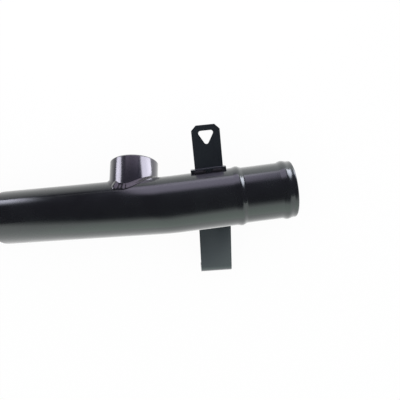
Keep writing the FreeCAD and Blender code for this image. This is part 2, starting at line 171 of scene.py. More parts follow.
class Workshop:
    """Hand tools that work on one piece at a time.

    Lengths are in millimetres and angles in degrees: SEED is the side of the plane that a traced
    line starts from, points nearer than MERGE become one, TOUCH is how near counts as on a plane,
    sheet edges sharper than EDGE_ANGLE are rounded in EDGE_STEPS chords, and the creases are the
    angles past which an edge stays sharp to the eye.
    """

    SEED: float = 1.0
    MERGE: float = 0.004
    TOUCH: float = 0.01
    DRILL_FACETS: int = 96
    EDGE_ANGLE: float = 40.0
    EDGE_STEPS: int = 3
    TURNED_CREASE: float = 30.0
    SHEET_CREASE: float = 35.0
    WELD_CREASE: float = 60.0

    @staticmethod
    def take(*pieces: bpy.types.Object) -> None:
        """Put everything down and take up some pieces.

        Args:
            *pieces: The pieces, the first of which becomes active.
        """
        for other in bpy.context.selected_objects:
            other.select_set(False)
        for piece in pieces:
            piece.select_set(True)
        bpy.context.view_layer.objects.active = pieces[0] if pieces else None

    @staticmethod
    def edit() -> None:
        """Go into edit mode with all of the active piece selected."""
        bpy.ops.object.mode_set(mode="EDIT")
        bpy.ops.mesh.select_mode(type="VERT")
        bpy.ops.mesh.select_all(action="SELECT")

    @staticmethod
    def leave() -> None:
        """Go back to object mode."""
        bpy.ops.object.mode_set(mode="OBJECT")

    @classmethod
    def trace(cls, name: str, points: Sequence[Vector]) -> bpy.types.Object:
        """Pull one point along a line and leave the wire in edit mode, all selected.

        Args:
            name: Name of the new piece.
            points: The line's points in metres.

        Returns:
            The new piece.
        """
        cls.take()
        bpy.ops.mesh.primitive_plane_add(size=mm(cls.SEED), location=points[0])
        piece = bpy.context.object
        piece.name = name
        bpy.ops.object.transform_apply(location=True, rotation=True, scale=True)
        cls.edit()
        bpy.ops.mesh.merge(type="CENTER")
        for here, there in zip(points, points[1:]):
            bpy.ops.mesh.extrude_region_move(TRANSFORM_OT_translate={"value": there - here})
        bpy.ops.mesh.select_all(action="SELECT")
        return piece

    @classmethod
    def turn(
        cls, name: str, points: Sequence[Vector], axis: Vector, steps: int, closed: bool
    ) -> bpy.types.Object:
        """Turn a profile on a lathe.

        Args:
            name: Name of the new piece.
            points: The profile in metres.
            axis: The lathe's axis, through the origin.
            steps: Facets around the axis.
            closed: Whether the profile's last point joins its first.

        Returns:
            The turned piece, in object mode.
        """
        piece = cls.trace(name, [*points, points[0]] if closed else points)
        cls.sweep(steps, 360, Vector(), axis)
        cls.clean()
        cls.leave()
        return piece

    @classmethod
    def plate(cls, name: str, points: Sequence[Vector], thickness: Vector) -> bpy.types.Object:
        """Cut a closed outline out of sheet.

        Args:
            name: Name of the new piece.
            points: The outline in metres.
            thickness: Way and distance from one face to the other.

        Returns:
            The plate, in object mode.
        """
        piece = cls.trace(name, points)
        bpy.ops.mesh.edge_face_add()
        bpy.ops.mesh.extrude_region_move(TRANSFORM_OT_translate={"value": thickness})
        cls.clean()
        cls.leave()
        return piece

    @classmethod
    def hoop(cls, name: str, section: Sequence[Vector], steps: int, degrees: float) -> bpy.types.Object:
        """Roll a strip round the X axis, from the section backwards.

        Args:
            name: Name of the new piece.
            section: Corners of the strip's section in metres.
            steps: Facets along the strip.
            degrees: How far the strip goes round.

        Returns:
            The strip, in object mode.
        """
        strip = cls.trace(name, section)
        bpy.ops.mesh.edge_face_add()
        cls.sweep(steps, -degrees, Vector(), Vector((1, 0, 0)))
        cls.clean()
        cls.leave()
        return strip

    @staticmethod
    def sweep(steps: int, degrees: float, centre: Vector, axis: Vector) -> None:
        """Sweep what is selected round an axis, anticlockwise as seen from the axis's tip.

        Args:
            steps: Facets along the sweep.
            degrees: How far it turns.
            centre: A point of the axis in metres.
            axis: The axis's way.
        """
        # The spin tool counts its angle clockwise
        bpy.ops.mesh.spin(steps=steps, angle=-math.radians(degrees), center=centre, axis=axis)

    @classmethod
    def clean(cls) -> None:
        """Merge what coincides on the piece in edit mode and turn its faces outwards."""
        bpy.ops.mesh.select_all(action="SELECT")
        bpy.ops.mesh.remove_doubles(threshold=mm(cls.MERGE))
        bpy.ops.mesh.normals_make_consistent(inside=False)

    @staticmethod
    def pick(piece: bpy.types.Object, wanted: Callable[[Vector], bool]) -> None:
        """Select the points, edges and faces of the piece in edit mode that pass a test.

        Args:
            piece: The piece that is being edited.
            wanted: Test of a point's place.
        """
        bpy.ops.mesh.select_all(action="DESELECT")
        mesh = bmesh.from_edit_mesh(piece.data)
        for vertex in mesh.verts:
            vertex.select_set(wanted(vertex.co))
        mesh.select_flush(True)
        bmesh.update_edit_mesh(piece.data)

    @classmethod
    def modify(cls, piece: bpy.types.Object, kind: str, **settings: Any) -> None:
        """Put a modifier on a piece and apply it.

        Args:
            piece: The piece that is changed.
            kind: Blender's name for the kind of modifier.
            **settings: The modifier's own properties.
        """
        cls.take(piece)
        step = piece.modifiers.new(kind.lower(), kind)
        for name, setting in settings.items():
            setattr(step, name, setting)
        bpy.ops.object.modifier_apply(modifier=step.name)

    @classmethod
    def combine(cls, piece: bpy.types.Object, tool: bpy.types.Object, operation: str) -> None:
        """Cut a piece with another, or weld the two into one skin, and put the other away.

        Args:
            piece: The piece that is kept.
            tool: The piece that is used up.
            operation: DIFFERENCE or UNION.
        """
        cls.modify(piece, "BOOLEAN", object=tool, operation=operation, solver="EXACT")
        bpy.data.objects.remove(tool)

    @classmethod
    def drill(cls, piece: bpy.types.Object, radius: float, depth: float, place: Matrix) -> None:
        """Drill a round hole about the Z axis of a place.

        Args:
            piece: The piece that is drilled.
            radius: The hole's radius in metres.
            depth: The drill's length in metres, half to each side of the place.
            place: Where the drill stands.
        """
        cls.take()
        bpy.ops.mesh.primitive_cylinder_add(vertices=cls.DRILL_FACETS, radius=radius, depth=depth)
        drill = bpy.context.object
        cls.stand(drill, place)
        cls.combine(piece, drill, "DIFFERENCE")

    @classmethod
    def stand(cls, piece: bpy.types.Object, place: Matrix) -> None:
        """Move a piece to its place, which goes into its mesh.

        Args:
            piece: The piece that is moved.
            place: Where it goes.
        """
        cls.take(piece)
        piece.matrix_world = place
        bpy.ops.object.transform_apply(location=True, rotation=True, scale=True)

    @classmethod
    def join(cls, *pieces: bpy.types.Object) -> bpy.types.Object:
        """Join pieces into one.

        Args:
            *pieces: The pieces, the first of which takes in the others.

        Returns:
            The joined piece.
        """
        cls.take(*pieces)
        bpy.ops.object.join()
        return bpy.context.object

    @classmethod
    def round_edges(cls, piece: bpy.types.Object, radius: float) -> None:
        """Round the sharp edges of a sheet piece and shade it.

        Args:
            piece: The piece that is rounded.
            radius: The edges' radius in millimetres.
        """
        cls.modify(
            piece,
            "BEVEL",
            width=mm(radius),
            segments=cls.EDGE_STEPS,
            limit_method="ANGLE",
            angle_limit=math.radians(cls.EDGE_ANGLE),
            use_clamp_overlap=True,
        )
        cls.smooth(piece, cls.SHEET_CREASE)

    @classmethod
    def smooth(cls, piece: bpy.types.Object, degrees: float) -> None:
        """Shade a piece smooth, apart from edges sharper than an angle."""
        cls.take(piece)
        bpy.ops.object.shade_smooth_by_angle(angle=math.radians(degrees))


# Finishes


class Coat(Enum):
    """What the enamel lies on, which decides how it flows out."""

    DRAWN_TUBE = "drawn_tube"
    TURNED_BAR = "turned_bar"
    PRESSED_SHEET = "pressed_sheet"
    WELD_METAL = "weld_metal"
    TACK_WELD = "tack_weld"


Finishes = Mapping[Coat, bpy.types.Material]


@dataclass(frozen=True)
class StovedEnamel:
    """Black stoving enamel on steel under a clear top coat.

    The eye gets a deep black with reflections that waver a little and have a soft rim: the top
    coat's are crisp, the enamel's below are blurred by its orange peel. A few specks of dust
    settled before it set.

    Sizes and heights are in millimetres. The tint of the reflections is a painted reflection colour,
    which stands in for the tinted surroundings that the enamel mirrors. weld_lumps says how much
    higher the film's waves are on a weld. speck_core is where a speck ends and has faded out, as a
    share of its cell. dusty_sag and sheen_sag are the shares of the sag noise between which the dust
    comes in, up to dust_share, and the gloss goes from bright to dull.
    """

    coat: Coat
    base_colour: str = "17171b"
    sag_base_colour: str = "1d1d23"
    dust: str = "4a4a50"
    gloss_roughness: float = 0.2
    dull_roughness: float = 0.3
    top_coat_roughness: float = 0.13
    film_ior: float = 1.5
    painted_reflection_tint: str = "ffffff"
    peel_size: float = 1.6
    peel_height: float = 0.004
    peel_detail: float = 1.5
    sag_size: float = 14.0
    sag_height: float = 0.02
    sag_detail: float = 1.0
    wave_roughness: float = 0.4
    weld_lumps: float = 3.0
    speck_size: float = 1.1
    speck_core: Point = (0.05, 0.13)
    dusty_sag: Point = (0.52, 0.7)
    dust_share: float = 0.45
    sheen_sag: Point = (0.3, 0.7)

    def make(self) -> bpy.types.Material:
        """Mix the enamel.

        Returns:
            The material.
        """
        material = bpy.data.materials.new(f"stoved_black_enamel_on_{self.coat.value}")
        material.use_nodes = True
        tree = material.node_tree
        tree.nodes.clear()
        place = add_node(tree, "ShaderNodeTexCoord", {}).outputs["Object"]
        lumps = self.weld_lumps if self.coat in (Coat.WELD_METAL, Coat.TACK_WELD) else 1.0
        peel = add_node(
            tree,
            "ShaderNodeTexNoise",
            {
                "Vector": place,
                "Scale": 1 / mm(self.peel_size),
                "Detail": self.peel_detail,
                "Roughness": self.wave_roughness,
            },
        )
        sag = add_node(
            tree,
            "ShaderNodeTexNoise",
            {
                "Vector": place,
                "Scale": 1 / mm(self.sag_size),
                "Detail": self.sag_detail,
                "Roughness": self.wave_roughness,
            },
        )
        colour = self.dusted(tree, place, sag.outputs["Fac"])
        roughness = add_node(
            tree,
            "ShaderNodeMapRange",
            {
                "Value": sag.outputs["Fac"],
                "From Min": self.sheen_sag[0],
                "From Max": self.sheen_sag[1],
                "To Min": self.gloss_roughness,
                "To Max": self.dull_roughness,
            },
        )
        film = add_node(
            tree,
            "ShaderNodeBump",
            {"Height": sag.outputs["Fac"], "Strength": 1.0, "Distance": mm(self.sag_height * lumps)},
        )
        skin = add_node(
            tree,
            "ShaderNodeBump",
            {
                "Height": peel.outputs["Fac"],
                "Strength": 1.0,
                "Distance": mm(self.peel_height * lumps),
                "Normal": film.outputs["Normal"],
            },
        )
        enamel = add_node(
            tree,
            "ShaderNodeBsdfPrincipled",
            {
                "Base Color": colour,
                "Roughness": roughness.outputs["Result"],
                "IOR": self.film_ior,
                # Painted reflection colour: this tint stands in for the tinted surroundings that the enamel
                # mirrors
                "Specular Tint": linear(self.painted_reflection_tint),
                "Normal": skin.outputs["Normal"],
                "Coat Weight": 1.0,
                "Coat Roughness": self.top_coat_roughness,
                "Coat IOR": self.film_ior,
                "Coat Normal": skin.outputs["Normal"],
            },
        )
        add_node(tree, "ShaderNodeOutputMaterial", {"Surface": enamel.outputs["BSDF"]})
        return material

    def dusted(
        self, tree: bpy.types.NodeTree, place: bpy.types.NodeSocket, sag: bpy.types.NodeSocket
    ) -> bpy.types.NodeSocket:
        """Colour the enamel, a little faded where it sags, and scatter specks of dust in it.

        Args:
            tree: Node tree of the enamel.
            place: Socket with the place on the piece.
            sag: Socket with the sag noise.

        Returns:
            The socket with the colour.
        """
        specks = add_node(
            tree,
            "ShaderNodeTexVoronoi",
            {"Vector": place, "Scale": 1 / mm(self.speck_size), "Randomness": 1.0},
        )
        # Only the cells' very middles count as specks, drawn larger than real dust so that they show
        speck = add_node(
            tree,
            "ShaderNodeMapRange",
            {
                "Value": specks.outputs["Distance"],
                "From Min": self.speck_core[0],
                "From Max": self.speck_core[1],
                "To Min": 1.0,
                "To Max": 0.0,
            },
        )
        patches = add_node(
            tree,
            "ShaderNodeMapRange",
            {
                "Value": sag,
                "From Min": self.dusty_sag[0],
                "From Max": self.dusty_sag[1],
                "To Min": 0.0,
                "To Max": self.dust_share,
            },
        )
        dusty = add_node(
            tree,
            "ShaderNodeMath",
            {0: speck.outputs["Result"], 1: patches.outputs["Result"]},
            operation="MULTIPLY",
        )
        shade = add_node(
            tree,
            "ShaderNodeMix",
            {"Factor": sag, "A": linear(self.base_colour), "B": linear(self.sag_base_colour)},
            data_type="RGBA",
        )
        colour = add_node(
            tree,
            "ShaderNodeMix",
            {"Factor": dusty.outputs["Value"], "A": shade.outputs["Result"], "B": linear(self.dust)},
            data_type="RGBA",
        )
        return colour.outputs["Result"]


def mix_enamels() -> Finishes:
    """Mix the enamel for each kind of surface.

    Returns:
        The materials by what they lie on.
    """
    recipes = [
        # The tube's reflections get a greenish painted tint, which stands in for the greenish surroundings
        # that they mirror
        StovedEnamel(Coat.DRAWN_TUBE, painted_reflection_tint="e4fff4"),
        StovedEnamel(Coat.TURNED_BAR, base_colour="1a1a20", sag_base_colour="202027"),
        # Painted light: the sheet's enamel is mixed lighter and bluer than the tube's, and its reflections
        # get a cyan painted tint, for the light and the cyan surroundings that the tab and bracket catch
        StovedEnamel(
            Coat.PRESSED_SHEET,
            base_colour="1c1e24",
            sag_base_colour="23252a",
            gloss_roughness=0.3,
            dull_roughness=0.4,
            top_coat_roughness=0.2,
            painted_reflection_tint="d0f6ff",
            peel_size=1.3,
        ),
        StovedEnamel(Coat.WELD_METAL, peel_size=1.0, dull_roughness=0.24, film_ior=1.42),
        StovedEnamel(
            Coat.TACK_WELD,
            gloss_roughness=0.5,
            dull_roughness=0.6,
            top_coat_roughness=0.45,
            film_ior=1.2,
            peel_size=1.0,
        ),
    ]
    return {recipe.coat: recipe.make() for recipe in recipes}


def fit(piece: bpy.types.Object, node: str, finish: bpy.types.Material) -> bpy.types.Object:
    """Dress a piece, fix it to the part and let it stand for its plain solid.

    Args:
        piece: The finished piece in its place.
        node: Name of the solid that it stands for.
        finish: The piece's material.

    Returns:
        The piece.
    """
    piece.data.materials.clear()
    piece.data.materials.append(finish)
    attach(piece, "root")
    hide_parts(node)
    LOG.info("%s stands for %s, %d faces", piece.name, node, len(piece.data.polygons))
    return piece


# Places


@dataclass(frozen=True)
class Layout:
    """Frames of the pieces on the bench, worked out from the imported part's mounts.

    hose has its origin at the end of the bend and X out of the hose spigot; plain has its origin
    at the start of the bend and X out of the plain end; boss stands on the tube's axis with Z
    outwards; tab and bracket stand on the tube's axis at their stations with Z outwards.
    """

    hose: Matrix
    plain: Matrix
    boss: Matrix
    tab: Matrix
    bracket: Matrix

    @staticmethod
    def frame(origin: Vector, x_way: Vector, z_way: Vector) -> Matrix:
        """Set up a frame.

        Args:
            origin: The frame's origin in metres.
            x_way: Way of its X axis.
            z_way: A way on the side that its Z axis is on.

        Returns:
            The frame.
        """
        x_axis = x_way.normalized()
        y_axis = z_way.cross(x_axis).normalized()
        z_axis = x_axis.cross(y_axis)
        turn = Matrix((x_axis, y_axis, z_axis)).transposed()
        return Matrix.Translation(origin) @ turn.to_4x4()

    @classmethod
    def from_record(
        cls,
        record: Mapping[str, Any],
        tube: FormedTube,
        boss: SensorBoss,
        tab: CableTab,
        bracket: FixingBracket,
    ) -> Layout:
        """Find the frames.

        Args:
            record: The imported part's record.
            tube: The tube, for where its mounts lie along it.
            boss: The boss, for where its mount lies along it.
            tab: The cable tab, for its station.
            bracket: The fixing bracket, for its station.

        Returns:
            The layout.
        """
        mounts = {mount["name"]: mount for mount in record["mounts"]}
        points = {name: Vector(mount["pos_m"]) for name, mount in mounts.items()}
        ways = {name: Vector(mount["axis"]).normalized() for name, mount in mounts.items()}
        hose_way = ways["hose_spigot"]
        plain_way = ways["plain_end"]
        upright = hose_way.cross(plain_way).normalized()
        hose = cls.frame(points["hose_spigot"] - hose_way * mm(tube.spigot_middle()), hose_way, upright)
        plain = cls.frame(points["plain_end"] - plain_way * mm(tube.insert_middle()), plain_way, upright)
        foot = points["sensor_port"] - ways["sensor_port"] * mm(boss.bore_middle())
        half_turn = Matrix.Rotation(math.pi, 4, "Y")
        return cls(
            hose=hose,
            plain=plain,
            boss=cls.frame(foot, -plain_way, ways["sensor_port"]),
            tab=hose @ Matrix.Translation(at(tab.station, 0, 0)),
            bracket=hose @ Matrix.Translation(at(bracket.station, 0, 0)) @ half_turn,
        )


# The pieces


@dataclass(frozen=True)
class FormedTube:
    """Steel tube with a beaded hose end, one bend and a reduced plain end.

    lip is the width of the rim past the end bead. The swage draws the tube in a little before its
    own length begins, by shoulder_early. The rounds are the radii of the two ends' edges.
    """

    outside: float = 33.0
    wall: float = 1.5
    left_run: float = 102.7
    bend_angle: float = 15.0
    bend_radius: float = 40.0
    right_run: float = 34.6
    spigot: float = 32.0
    spigot_run: float = 26.0
    lip_run: float = 5.2
    lip: float = 32.4
    lip_round: float = 0.9
    lip_inner_round: float = 0.35
    stop_bead: float = 34.2
    end_bead: float = 33.7
    bead_width: float = 6.6
    insert: float = 26.0
    insert_run: float = 18.0
    insert_chamfer: float = 1.0
    insert_round: float = 0.5
    insert_end_round: float = 0.25
    insert_inner_round: float = 0.2
    shoulder_round: float = 6.0
    shoulder_early: float = 1.3
    port: float = 21.0
    port_setback: float = 17.4
    facets: int = 160
    bead_steps: int = 9
    bend_steps: int = 14

    def spigot_middle(self) -> float:
        """How far the middle of the hose seat is from the end of the bend."""
        return self.right_run + self.spigot_run / 2

    def shoulder_length(self) -> float:
        """Length of the shoulder along the tube."""
        drop = (self.outside - self.insert) / 2
        return math.sqrt(drop * (4 * self.shoulder_round - drop))

    def insert_middle(self) -> float:
        """How far the middle of the plain end is from the start of the bend."""
        return self.left_run + self.shoulder_length() + (self.insert_run - self.insert_chamfer) / 2

    def slope(self, start: Point, finish: Point) -> list[Point]:
        """Draw a smooth rise or fall between two level runs.

        Args:
            start: Place along the tube and radius where it starts.
            finish: Place along the tube and radius where it ends.

        Returns:
            Places along the tube, each with its radius, both ends included.
        """
        steps = [step / self.bead_steps for step in range(self.bead_steps + 1)]
        run, rise = finish[0] - start[0], finish[1] - start[1]
        return [(start[0] + share * run, start[1] + rise * ease(share)) for share in steps]

    def bead(self, middle: float, crest: float, before: float, after: float) -> list[Point]:
        """Draw a rolled bead from left to right.

        Args:
            middle: Where the crest is along the tube.
            crest: Radius of the crest.
            before: Radius of the tube to its left.
            after: Radius of the tube to its right.

        Returns:
            Places along the tube, each with its radius.
        """
        half = self.bead_width / 2
        up = self.slope((middle - half, before), (middle, crest))
        down = self.slope((middle, crest), (middle + half, after))
        return up + down[1:]

    def wall_inside(self, outer: Sequence[Point]) -> list[Point]:
        """The same line from right to left, one wall thickness in."""
        return [(along, radius - self.wall) for along, radius in reversed(outer)]

    def hose_end_profile(self) -> list[Point]:
        """Draw the hose end from the bend out to the lip and back inside.

        Returns:
            Places along the tube, each with its radius.
        """
        body, seat = self.outside / 2, self.spigot / 2
        crest = self.right_run + self.spigot_run
        lip, rim_radius = crest + self.lip_run, self.lip / 2
        outer = [(0.0, body)]
        outer += self.bead(self.right_run, self.stop_bead / 2, body, seat)
        outer += self.bead(crest, self.end_bead / 2, seat, rim_radius)
        rim = rounded(
            [
                Corner(crest + self.bead_width / 2, rim_radius),
                Corner(lip, rim_radius, self.lip_round),
                Corner(lip, rim_radius - self.wall, self.lip_inner_round),
                Corner(crest, rim_radius - self.wall),
            ],
            closed=False,
        )
        return outer + rim[1:-1] + self.wall_inside(outer)

    def plain_end_profile(self) -> list[Point]:
        """Draw the plain end from the bend out to its cut end and back inside.

        Returns:
            Places along the tube, each with its radius.
        """
        body, stub = self.outside / 2, self.insert / 2
        neck = self.left_run + self.shoulder_length()
        end = neck + self.insert_run
        # Edge rings beside the port, so that its cut leaves the rest of the run alone
        guard = (self.port_setback - self.port, self.port_setback + self.port)
        outer = [(0.0, body), *((place, body) for place in guard if place > 0)]
        outer += self.slope((self.left_run - self.shoulder_early, body), (neck - self.shoulder_early, stub))
        rim = rounded(
            [
                Corner(neck, stub),
                Corner(end - self.insert_chamfer, stub, self.insert_round),
                Corner(end, stub - self.insert_chamfer, self.insert_end_round),
                Corner(end, stub - self.wall, self.insert_inner_round),
                Corner(neck, stub - self.wall),
            ],
            closed=False,
        )
        return outer + rim[1:-1] + self.wall_inside(outer)

    def build(self, layout: Layout) -> bpy.types.Object:
        """Form the tube.

        Args:
            layout: Frames of the pieces.

        Returns:
            The tube in its place.
        """
        along = Vector((1, 0, 0))
        hose = [at(x, r, 0) for x, r in self.hose_end_profile()]
        tube = Workshop.turn("pipe_tube", hose, along, self.facets, closed=False)
        Workshop.take(tube)
        Workshop.edit()
        Workshop.pick(tube, lambda point: abs(point.x) < mm(Workshop.TOUCH))
        bend_centre = at(0, self.bend_radius, 0)
        Workshop.sweep(self.bend_steps, -self.bend_angle, bend_centre, Vector((0, 0, 1)))
        Workshop.leave()
        Workshop.stand(tube, layout.hose)
        plain = [at(x, r, 0) for x, r in self.plain_end_profile()]
        end = Workshop.turn("pipe_plain_end", plain, along, self.facets, closed=False)
        Workshop.stand(end, layout.plain)
        tube = Workshop.join(tube, end)
        Workshop.edit()
        Workshop.clean()
        Workshop.leave()
        middle = layout.boss @ Matrix.Translation(at(0, 0, self.outside / 2))
        Workshop.drill(tube, mm(self.port / 2), mm(self.outside / 2), middle)
        Workshop.smooth(tube, Workshop.TURNED_CREASE)
        return tube

    def assemble(self, layout: Layout, finishes: Finishes) -> Pieces:
        """Build the tube and dress it.

        Args:
            layout: Frames of the pieces.
            finishes: The enamel for each kind of surface.

        Returns:
            The piece by the name of the solid that it stands for.
        """
        return {"pipe": fit(self.build(layout), "pipe", finishes[Coat.DRAWN_TUBE])}


@dataclass(frozen=True)
class SensorBoss:
    """Turned boss with a threaded port, saddle-cut to the tube and welded all round.

    The thread's ridge is ridge_foot and ridge_crest of a pitch to each side of its middle at its
    foot and at its crest, and root_overlap deep in the bore's wall.

    The weld has a leg of weld_leg at the sides, which grows to front_leg in front and wanders:
    each wave of wander has its height, its number round the boss and its phase. Its edge laps the
    tube by lap in front and by lap_back of that elsewhere, fullest near the tube by lap_skew.
    Where the bead was ended, at lump_turn, it has a lump, of which lump_rise goes up the boss and
    lump_bulge outwards. Its toes sink into the metal by sink and its hidden half by bury.
    """

    outside: float = 28.5
    core: float = 20.4
    reach: float = 28.0
    chamfer: float = 0.8
    bore_chamfer: float = 1.2
    wall_round: float = 0.4
    rim_round: float = 0.3
    mouth_round: float = 0.2
    bore_round: float = 0.1
    tube: float = 33.0
    saddle_spare: float = 1.0
    thread_pitch: float = 1.5
    thread_depth: float = 0.75
    ridge_foot: float = 0.42
    ridge_crest: float = 0.1
    root_overlap: float = 0.1
    thread_steps: int = 72
    weld_leg: float = 1.1
    front_leg: float = 2.3
    wander: tuple[Place, ...] = ((0.16, 3.0, 0.8), (0.1, 7.0, 2.1))
    ripple_pitch: float = 2.1
    ripple: float = 0.055
    lap: float = 0.5
    lap_back: float = 0.4
    lap_skew: float = 0.55
    lump_turn: float = -110.0
    lump_spread: float = 5.5
    lump: float = 1.1
    lump_rise: float = 0.5
    lump_bulge: float = 0.8
    sink: float = 0.04
    bury: float = 0.5
    facets: int = 144
    saddle_facets: int = 192
    weld_steps: int = 432
    weld_facets: int = 24

    def saddle(self, radius: float) -> float:
        """Lowest place where a bore of this radius meets the tube."""
        return math.sqrt((self.tube / 2) ** 2 - radius**2)

    def bore_middle(self) -> float:
        """How far the middle of the threaded wall is from the tube's axis."""
        return (self.saddle(self.core / 2) + self.reach - self.bore_chamfer) / 2

    def build_boss(self, layout: Layout) -> bpy.types.Object:
        """Turn the boss, cut its saddle and its thread.

        Args:
            layout: Frames of the pieces.

        Returns:
            The boss in its place.
        """
        root = self.core / 2 + self.thread_depth
        wall = self.outside / 2
        low = self.saddle(wall) - self.saddle_spare
        profile = rounded(
            [
                Corner(root, low),
                Corner(wall, low),
                Corner(wall, self.reach - self.chamfer, self.wall_round),
                Corner(wall - self.chamfer, self.reach, self.rim_round),
                Corner(root + self.bore_chamfer, self.reach, self.mouth_round),
                Corner(root, self.reach - self.bore_chamfer, self.bore_round),
            ]
        )
        points = [at(r, 0, z) for r, z in profile]
        boss = Workshop.turn("sensor_boss_turned", points, Vector((0, 0, 1)), self.facets, closed=True)
        Workshop.take()
        bpy.ops.mesh.primitive_cylinder_add(
            vertices=self.saddle_facets,
            radius=mm(self.tube / 2),
            depth=mm(3 * self.outside),
            rotation=(0, math.pi / 2, 0),
        )
        saddle_tool = bpy.context.object
        bpy.ops.object.transform_apply(location=True, rotation=True, scale=True)
        Workshop.combine(boss, saddle_tool, "DIFFERENCE")
        boss = Workshop.join(boss, self.build_thread())
        Workshop.smooth(boss, Workshop.TURNED_CREASE)
        Workshop.stand(boss, layout.boss)
        return boss

    def build_thread(self) -> bpy.types.Object:
        """Run the ridge of the thread down the bore.

        Returns:
            The ridge, in the boss's frame.
        """
        crest = self.core / 2
        root = crest + self.thread_depth + self.root_overlap
        pitch = self.thread_pitch
        start = self.saddle(crest) + pitch
        turns = int((self.reach - self.bore_chamfer - start) / pitch)
        ridge = [
            at(root, 0, start - self.ridge_foot * pitch),
            at(crest, 0, start - self.ridge_crest * pitch),
            at(crest, 0, start + self.ridge_crest * pitch),
            at(root, 0, start + self.ridge_foot * pitch),
        ]
        thread = Workshop.trace("thread", [*ridge, ridge[0]])
        bpy.ops.mesh.remove_doubles(threshold=mm(Workshop.MERGE))
        Workshop.leave()
        Workshop.modify(
            thread,
            "SCREW",
            axis="Z",
            angle=math.tau,
            screw_offset=mm(pitch),
            iterations=turns,
            steps=self.thread_steps,
            render_steps=self.thread_steps,
            use_merge_vertices=True,
        )
        Workshop.take(thread)
        Workshop.edit()
        bpy.ops.mesh.select_all(action="DESELECT")
        bpy.ops.mesh.select_non_manifold()
        bpy.ops.mesh.fill()
        Workshop.clean()
        Workshop.leave()
        return thread

    def weld_face(self, turn: float, share: float) -> Vector:
        """A point of the weld's face, which laps the tube and hollows up to the boss.

        Args:
            turn: Turn about the boss in radians, from the bend's side.
            share: 0 at the toe on the tube, 1 at the toe on the boss.

        Returns:
            The point in millimetres in the boss's frame.
        """
        bore, tube = self.outside / 2, self.tube / 2
        across, back = math.cos(turn), math.sin(turn)
        front = max(0.0, -back) ** 2
        from_lump = (math.degrees(turn) - self.lump_turn) / self.lump_spread
        lump = self.lump * math.exp(-(from_lump**2))
        wander = sum(height * math.sin(waves * turn + phase) for height, waves, phase in self.wander)
        leg = self.weld_leg + (self.front_leg - self.weld_leg) * front + wander
        lean = math.asin(bore * back / tube)
        corner = Vector((bore * across, bore * back, tube * math.cos(lean)))
        lean += (leg + lump) * back / tube
        deep = tube - self.sink
        tube_toe = Vector(((bore + leg + lump) * across, deep * math.sin(lean), deep * math.cos(lean)))
        wall = bore - self.sink
        boss_toe = Vector((wall * across, wall * back, corner.z + leg + self.lump_rise * lump))
        hollow = tube_toe.lerp(corner, share).lerp(corner.lerp(boss_toe, share), share)
        outwards = ((tube_toe + boss_toe) / 2 - corner).normalized()
        pulse = self.ripple * math.sin(math.tau * turn * bore / self.ripple_pitch)
        lap = self.lap * (self.lap_back + (1 - self.lap_back) * front)
        proud = lap * math.sin(math.pi * share**self.lap_skew)
        proud += (pulse + self.lump_bulge * lump) * math.sin(math.pi * share)
        return hollow + outwards * proud

    def weld_root(self, turn: float, share: float) -> Vector:
        """A point of the weld's hidden half, which lies a little way inside the metal.

        Args:
            turn: Turn about the boss in radians, from the bend's side.
            share: 0 at the toe on the tube, 1 at the toe on the boss.

        Returns:
            The point in millimetres in the boss's frame.
        """
        depth = math.sin(math.pi * share)
        bury = self.bury * depth
        toes = self.weld_face(turn, 0.0).lerp(self.weld_face(turn, 1.0), share)
        seat = self.outside / 2 - bury
        lean = math.asin(self.outside / 2 * math.sin(turn) / (self.tube / 2))
        height = (self.tube / 2) * math.cos(lean) - bury
        deep = Vector((seat * math.cos(turn), seat * math.sin(turn), height))
        return toes.lerp(deep, depth)

    def build_weld(self, layout: Layout) -> bpy.types.Object:
        """Press a ring of weld metal into the corner between boss and tube.

        Args:
            layout: Frames of the pieces.

        Returns:
            The weld in its place.
        """
        # The ring's own size only tells its points apart before they are pressed into place
        ring, wire = 30.0, 5.0
        level = -0.001 * wire
        Workshop.take()
        bpy.ops.mesh.primitive_torus_add(
            major_segments=self.weld_steps,
            minor_segments=self.weld_facets,
            major_radius=ring,
            minor_radius=wire,
        )
        weld = bpy.context.object
        weld.name = "sensor_boss_weld"
        Workshop.edit()
        mesh = bmesh.from_edit_mesh(weld.data)
        for vertex in mesh.verts:
            x, y, z = vertex.co
            turn = math.atan2(y, x)
            round_wire = math.atan2(z, math.hypot(x, y) - ring)
            share = abs(round_wire) / math.pi
            press = self.weld_root if z < level else self.weld_face
            vertex.co = at(*press(turn, share))
        bmesh.update_edit_mesh(weld.data)
        Workshop.clean()
        Workshop.leave()
        Workshop.smooth(weld, Workshop.WELD_CREASE)
        Workshop.stand(weld, layout.boss)
        return weld

    def assemble(self, layout: Layout, finishes: Finishes) -> Pieces:
        """Build the boss and its weld and dress them.

        Args:
            layout: Frames of the pieces.
            finishes: The enamel for each kind of surface.

        Returns:
            The pieces by the names of the solids that they stand for.
        """
        return {
            "sensor_boss": fit(self.build_boss(layout), "sensor_boss", finishes[Coat.TURNED_BAR]),
            "boss_weld": fit(self.build_weld(layout), "boss_weld", finishes[Coat.WELD_METAL]),
        }


